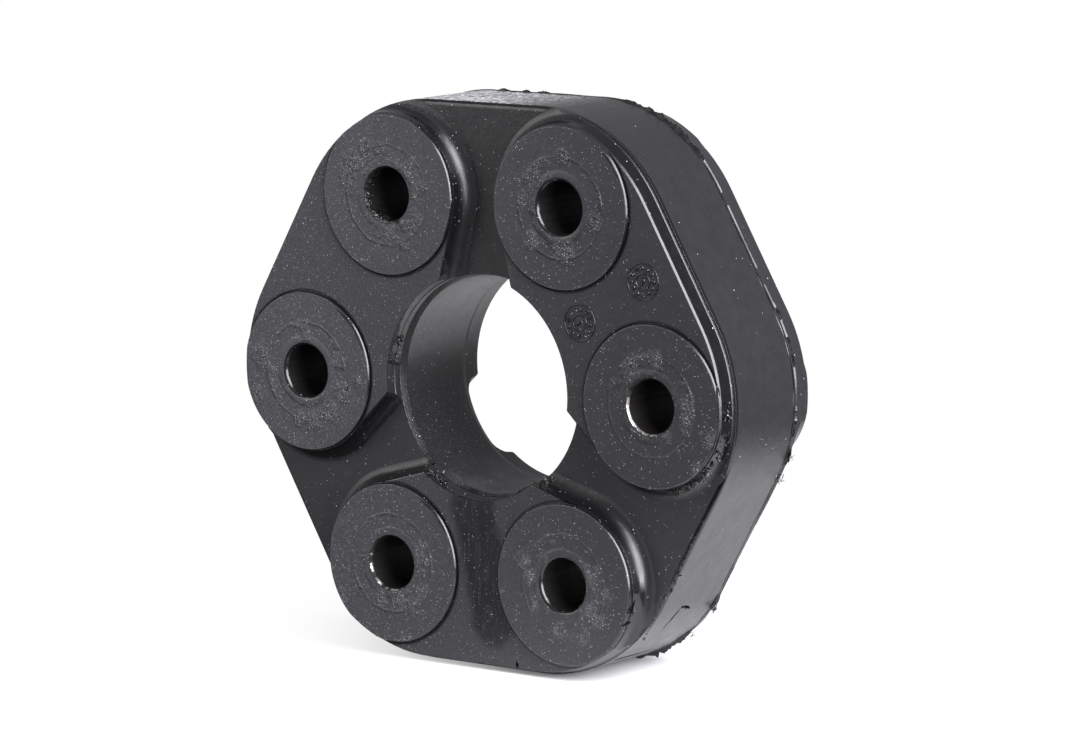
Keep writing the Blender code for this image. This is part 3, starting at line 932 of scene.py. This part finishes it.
def rubber_wear(n, m):
    """Adds the masks for crumbly rings, talc and the scuff on the lower pad."""
    p = m.p
    worn = n.mul(near_places(n, p, WORN), m.boss, n.ramp(n.noise(p, 0.9, 3.0, 0.6), 0.34, 0.56))
    loose = n.mul(n.band(m.bolt, 7.2, 11.3, 0.7), m.boss, n.ramp(n.noise(p, 0.16, 3.0, 0.6), 0.50, 0.66))
    m.crumbly = n.most(worn, n.mul(loose, 0.65))
    spread = n.mul(n.sub(m.face, n.mul(m.boss, 0.5)), m.left, 0.14)
    share = n.add(n.mul(m.crumbly, 0.85), n.mul(m.boss, 0.08), spread)
    clean = n.flip(n.mul(n.most(m.rim, m.band), 0.85))
    crumbs = n.specks(p, 2.7, n.mul(n.add(share, 0.03), clean), 0.34)
    dots = n.specks(p, 1.5, n.mul(n.add(n.mul(share, 0.6), 0.04), clean), 0.22)
    stray = n.specks(p, 0.8, n.mul(n.add(n.mul(m.face, 0.07), 0.06), clean), 0.12)
    m.talc = n.most(crumbs, dots, stray)
    shifted = n.vector("ADD", p, n.scaled(n.join(n.noise(p, 0.35, 3.0), 0.5, n.noise(p, 0.31, 3.0)), 3.0))
    away = line_distance(n, shifted, (0.2, -HALF + 1.8, -24.5), (5.8, -HALF + 1.8, -50.5))
    m.scuff = n.mul(n.fall(away, 4.4, 7.2), n.mul(m.face, n.ramp(m.bolt, 18.3, 18.5)))
    m.streaks = n.noise(n.stretched(p, (1.6, 1.0, 0.22)), 1.0, 4.0, 0.6)
    m.scuff_dark = n.mul(m.scuff, n.ramp(m.streaks, 0.34, 0.54, 0.65, 1.0))


def rubber_colour(n, m):
    p = m.p
    grit = n.mul(n.ramp(n.noise(p, 2.6, 3.0, 0.85), 0.53, 0.61), m.left, n.flip(n.mul(m.face, 0.65)))
    grit = n.add(grit, n.mul(n.add(n.mul(m.face, 0.12), n.mul(m.boss, 0.07)), m.left))
    dusted = n.mix(m.cloud, (0.0085, 0.0080, 0.0100), (0.0135, 0.0127, 0.0157))
    dusted = n.mix(grit, dusted, (0.165, 0.157, 0.176))
    rim = n.mix(m.cloud, (0.0085, 0.0083, 0.0095), (0.0125, 0.0122, 0.0138))
    ends = n.most(n.ramp(m.z, 13.0, 23.0, 0.0, 0.8), n.fall(m.z, -22.5, -18.5))
    stain = n.mul(m.bore, ends, n.ramp(n.noise(p, 0.20, 4.0, 0.6), 0.40, 0.62))
    # Painted shade: the bore's wall within 5 mm of each face is painted darker
    mouth_band_shade = n.mul(m.bore, n.fall(m.depth, 5.0, 5.5))
    flecks = n.ramp(n.noise(n.stretched(p, (1.0, 0.5, 1.0)), 1.5, 4.0, 0.85), 0.46, 0.60)
    dust = n.mix(m.fine, (0.22, 0.215, 0.22), (0.90, 0.89, 0.91))
    smear = n.mul(m.crumbly, n.ramp(m.grain, 0.40, 0.70))
    base = n.mix(n.noise(p, 0.06, 3.0), (0.0050, 0.0049, 0.0056), (0.0070, 0.0068, 0.0078))
    return n.layers(base, (
        (n.mul(grit, 0.8), (0.052, 0.049, 0.057)),
        # Painted shade: recess floors lower down are painted lighter, so the upper recess floor stays darker
        (n.mul(m.recess, n.ramp(m.z, 15.0, 40.0, 0.7, 0.0)), (0.020, 0.0195, 0.0220)),
        (m.face, dusted),
        (n.mul(m.rim, 0.8), rim),
        (n.mul(m.bore, n.ramp(m.z, -14.0, 16.0)), (0.010, 0.0095, 0.0095)),
        (n.mul(stain, 0.7), (0.042, 0.039, 0.041)),
        # Painted shade: the tapered band by the rim, near black
        (m.band, (0.0025, 0.0025, 0.0028)),
        # Painted shade: the bore's wall near its mouths
        (n.mul(mouth_band_shade, 0.8), (0.006, 0.006, 0.007)),
        (m.top, n.mix(flecks, (0.14, 0.137, 0.143), (0.80, 0.79, 0.81))),
        (m.rear, n.mix(m.cloud, (0.008, 0.0077, 0.0088), (0.014, 0.0136, 0.0152))),
        # Painted shade: a near-black line in the crease along the rim's edge
        (m.crease, (0.0012, 0.0012, 0.0014)),
        (m.cove, (0.0050, 0.0049, 0.0057)),
        # Painted highlight: a light line along the edge of each boss
        (m.boss_edge, (0.060, 0.058, 0.064)),
        # Painted shade: a dark line round the foot of each boss
        (n.mul(m.foot, 0.9), (0.0015, 0.0015, 0.0018)),
        (n.mul(smear, 0.60), (0.11, 0.107, 0.112)),
        (n.mul(m.scuff_dark, 0.92), (0.002, 0.002, 0.0024)),
        (n.mul(m.talc, 0.85), dust),
    ))


def rubber_roughness(n, m):
    return n.add(
        n.ramp(m.cloud, 0.3, 0.7, 0.25, 0.31),
        n.mul(m.facing, 0.10),
        n.mul(m.face, n.add(n.mul(m.left, 0.09), 0.03)),
        n.mul(m.scuff_dark, -0.17),
        n.mul(m.recess, n.ramp(m.z, 15.0, 45.0, 0.03, -0.015)),
        n.mul(m.face, n.ramp(m.x, 10.0, 45.0, 0.0, 0.045)),
        n.mul(m.boss, 0.012),
        n.mul(m.rim, n.ramp(m.z, 0.0, 45.0, 0.06, 0.015)),
        n.mul(m.bore, 0.06),
        n.mul(m.cove, n.ramp(m.depth, 1.8, 2.8, -0.12, 0.06)),
        n.mul(n.most(m.band, m.crease), -0.14),
        n.mul(m.foot, -0.14),
        n.mul(m.talc, 0.2),
    )


def rubber_relief(n, m):
    """Height for the bump: grain, crumbs, the two faint rings on a boss, streaks and lathe marks."""
    p = m.p
    uneven = n.ramp(n.noise(p, 0.22, 3.0), 0.35, 0.65, 0.15, 1.0)
    wavy = n.add(m.bolt, n.sub(n.noise(p, 0.30, 2.0), 0.5))
    outer_line = n.mul(n.band(wavy, 11.1, 11.3, 0.30), m.boss, uneven)
    inner_line = n.mul(n.fall(wavy, 7.7, 8.4), m.boss)
    lathe = n.noise(n.stretched(p, (0.02, 5.0, 0.02)), 1.0, 3.0)
    return n.add(
        n.mul(m.grain, 0.45),
        n.mul(m.fine, 0.12),
        n.mul(m.crumbly, n.noise(p, 1.5, 4.0, 0.7), 8.0),
        n.mul(outer_line, 2.0),
        n.mul(inner_line, 1.3),
        n.mul(m.talc, 0.8),
        n.mul(n.noise(p, 0.12, 2.0), 2.4),
        n.mul(m.scuff, m.streaks, 0.6),
        n.mul(m.bore, lathe, 0.5),
    )


def rubber_material():
    n = Nodes("rubber_moulded")
    m = rubber_zones(n)
    rubber_wear(n, m)
    normal = n.bump(rubber_relief(n, m), 0.10, n.sub(0.8, n.mul(m.band, 0.6)))
    return n.finish(rubber_colour(n, m), rubber_roughness(n, m), normal)


def torn_material(name, relief, dusty, gloss):
    """Flash and torn crumbs: darker and a little glossier than the moulded faces."""
    n = Nodes(name)
    p = n.position()
    patches = n.noise(p, 0.7, 4.0, 0.6)
    colour = n.mix(n.ramp(patches, 0.4, 0.7), (0.0025, 0.0025, 0.0028), (0.014, 0.0135, 0.015))
    colour = n.mix(n.mul(n.specks(p, 2.0, dusty, 0.35), 0.6), colour, (0.40, 0.39, 0.38))
    normal = n.bump(n.noise(p, 3.0, 4.0, 0.7), relief, 0.8)
    return n.finish(colour, n.ramp(patches, 0.3, 0.7, gloss, gloss + 0.11), normal)


def steel_material():
    """Dull steel. At its mouth, chips of bare bright metal, kept only where the surface faces the key light:
    real wear and a painted glint.
    """
    n = Nodes("sleeve_steel_dull")
    p = n.position()
    x, y, z = n.split(p)
    nx, _, nz = n.face_normal()
    mouth = n.fall(n.sub(HALF, n.math("ABSOLUTE", y)), 0.35, 0.75)
    patches = n.noise(p, 0.8, 4.0, 0.65)
    chips = n.ramp(n.noise(p, 0.33, 3.0, 0.6), 0.40, 0.56)
    # Painted glint: the bright metal is kept only on the side of the mouth that faces the key light
    lit = n.ramp(n.add(n.mul(nx, 0.7), n.mul(nz, 0.7)), 0.20, 0.60, 0.02, 1.0)
    torn_mouth = bolt_centre(2)
    away = n.vector("DISTANCE", n.join(x, 0.0, z), (torn_mouth.x, 0.0, torn_mouth.y))
    covered = n.ramp(away, 8.0, 9.0, 0.12, 1.0)
    bare_and_glint = n.mul(mouth, chips, lit, covered)
    grime = n.mix(patches, (0.0030, 0.0026, 0.0026), (0.010, 0.008, 0.0075))
    shine = n.mix(n.ramp(patches, 0.4, 0.65), (0.30, 0.29, 0.28), (0.66, 0.64, 0.61))
    roughness = n.ramp(bare_and_glint, 0.0, 1.0, 0.52, 0.26)
    normal = n.bump(n.noise(p, 3.0, 4.0, 0.7), 0.12, 0.9)
    return n.finish(n.mix(bare_and_glint, grime, shine), roughness, normal, bare_and_glint, 0.3)


def ring_material():
    n = Nodes("ring_steel_plated")
    p = n.position()
    patches = n.noise(p, 0.5, 4.0, 0.6)
    colour = n.mix(patches, (0.38, 0.35, 0.26), (0.60, 0.55, 0.42))
    lines = n.noise(n.stretched(p, (0.3, 9.0, 0.3)), 1.0, 3.0)
    return n.finish(colour, n.ramp(patches, 0.3, 0.7, 0.3, 0.5), n.bump(lines, 0.04, 0.5), 1.0)


def cord_material():
    n = Nodes("cord_wound")
    p = n.position()
    wave = n.new("TexWave")
    wave.bands_direction = "Y"
    n.fill(wave, Vector=p, Scale=1.1, Distortion=1.2, Detail=2.0)
    turns = wave.outputs["Fac"]
    twist = n.noise(p, 1.6, 4.0, 0.6)
    colour = n.mix(n.mul(turns, twist), (0.30, 0.27, 0.22), (0.66, 0.61, 0.52))
    return n.finish(colour, n.ramp(twist, 0.3, 0.7, 0.75, 0.9), n.bump(turns, 0.15, 0.9))


def paint(item, material):
    item.data.materials.clear()
    item.data.materials.append(material)


# Object
rubber = rubber_material()
steel = steel_material()
plated = ring_material()
cord = cord_material()
for name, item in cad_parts.items():
    if name.startswith("bolt_sleeve"):
        paint(item, steel)
    elif "collar" in name or "spacer" in name:
        paint(item, plated)
    elif "cord_loop" in name:
        paint(item, cord)
    else:
        paint(item, rubber)

skin = rubber_skin()
paint(skin, rubber)
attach(skin, "root")
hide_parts("rubber_body")
torn = torn_material("rubber_torn", 0.10, 0.10, 0.17)
fin = torn_material("rubber_fin", 0.015, 0.015, 0.24)
for piece, material in (
    (parting_flash(), fin), (torn_rubber(), torn), (mould_dials(), rubber), (mouth_lips(), rubber),
):
    paint(piece, material)
    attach(piece, "root")


# Stage
def floor_material():
    """Pale floor that fades to nothing before it reaches the edges of the picture."""
    n = Nodes("stage_floor")
    p = n.position()
    x, y, _ = n.split(p)
    tint = n.mix(n.noise(p, 0.02, 3.0), (0.86, 0.86, 0.87), (0.90, 0.90, 0.91))
    n.finish(tint, 0.55, n.bump(n.noise(p, 0.8, 3.0), 0.02, 0.3), 0.0, 0.3)
    reach = n.ramp(n.vector("LENGTH", n.join(x, y, 0.0)), 100.0, 210.0)
    ahead = n.ramp(n.sub(x, n.mul(y, 1.2)), 85.0, 130.0)
    shaded = n.fall(n.add(n.mul(x, 0.8), n.mul(y, 0.6)), -62.0, 20.0)
    clear = n.new("BsdfTransparent").outputs[0]
    faded = n.feed(n.new("MixShader"), (n.most(reach, ahead, shaded), n.shader.outputs[0], clear))
    n.put(n.output.inputs["Surface"], faded)
    return n.material


mesh = bmesh.new()
bmesh.ops.create_grid(mesh, x_segments=1, y_segments=1, size=0.8)
data = bpy.data.meshes.new("stage_floor")
mesh.to_mesh(data)
mesh.free()
data.materials.append(floor_material())
floor = bpy.data.objects.new("stage_floor", data)
floor.location = (0.0, 0.0, -0.0002)
bpy.context.scene.collection.objects.link(floor)

# White for the camera, and a soft studio for everything else: a little brighter in front, dim below
world = bpy.data.worlds.new("studio")
bpy.context.scene.world = world
world.use_nodes = True
world.node_tree.nodes.clear()
g = Graph(world.node_tree)
_, y, z = g.split(g.new("TexCoord").outputs["Generated"])
level = g.mul(g.ramp(y, -0.5, 0.6, 0.45, 0.34), g.ramp(z, -0.60, -0.25, 0.15, 1.0, smooth=False))
around = g.fill(g.new("Background"), Color=(0.97, 0.955, 1.0), Strength=level)
seen = g.fill(g.new("Background"), Color=(1.0, 1.0, 1.0), Strength=1.0)
choice = g.feed(g.new("MixShader"), (g.new("LightPath").outputs["Is Camera Ray"], around, seen))
g.put(g.new("OutputWorld").inputs["Surface"], choice)


def softbox(name, place_at, width, height, power, tint=(1.0, 1.0, 1.0)):
    light = bpy.data.lights.new(name, "AREA")
    light.shape = "RECTANGLE"
    light.size = width
    light.size_y = height
    light.energy = power
    light.color = tint
    item = bpy.data.objects.new(name, light)
    item.location = place_at
    aim = Vector((0.0, 0.0, 0.06)) - Vector(place_at)
    item.rotation_euler = aim.to_track_quat("-Z", "Y").to_euler()
    bpy.context.scene.collection.objects.link(item)


softbox("key_right", (0.87, -0.16, 0.50), 0.80, 1.20, 48.0, (0.97, 0.97, 1.0))
softbox("front_left", (-0.55, -0.45, 0.35), 0.4, 0.5, 2.0)

# Camera, solved from the photo's six bosses and bolt holes
AZIMUTH, ELEVATION, ROLL = math.radians(37.1886), math.radians(8.4637), math.radians(0.57629)
BOLT_CIRCLE = BOLT_RADIUS * MM
DISTANCE = 24.16649 * BOLT_CIRCLE
PHOTO_WIDTH = 1086.0
FOCAL_PIXELS = 5314.066
SENSOR = 36.0
target = Vector((0.398248 * BOLT_CIRCLE, -HALF * MM, CENTRE.z + 0.128497 * BOLT_CIRCLE))
back = Vector((
    math.sin(AZIMUTH) * math.cos(ELEVATION), -math.cos(AZIMUTH) * math.cos(ELEVATION), math.sin(ELEVATION),
))
right = (-back).cross(Vector((0.0, 0.0, 1.0))).normalized()
down = (-back).cross(right)
turned_right = right * math.cos(ROLL) + down * math.sin(ROLL)
turned_down = down * math.cos(ROLL) - right * math.sin(ROLL)
camera_data = bpy.data.cameras.new("camera")
camera_data.sensor_width = SENSOR
camera_data.lens = SENSOR * FOCAL_PIXELS / PHOTO_WIDTH
camera_data.clip_start = 0.05
camera_data.clip_end = 20.0
camera = bpy.data.objects.new("camera", camera_data)
camera.matrix_world = Matrix.Translation(target + back * DISTANCE) @ Matrix((
    (turned_right.x, -turned_down.x, back.x, 0.0),
    (turned_right.y, -turned_down.y, back.y, 0.0),
    (turned_right.z, -turned_down.z, back.z, 0.0),
    (0.0, 0.0, 0.0, 1.0),
))
bpy.context.scene.collection.objects.link(camera)
bpy.context.scene.camera = camera
bpy.context.scene.view_settings.view_transform = "Standard"
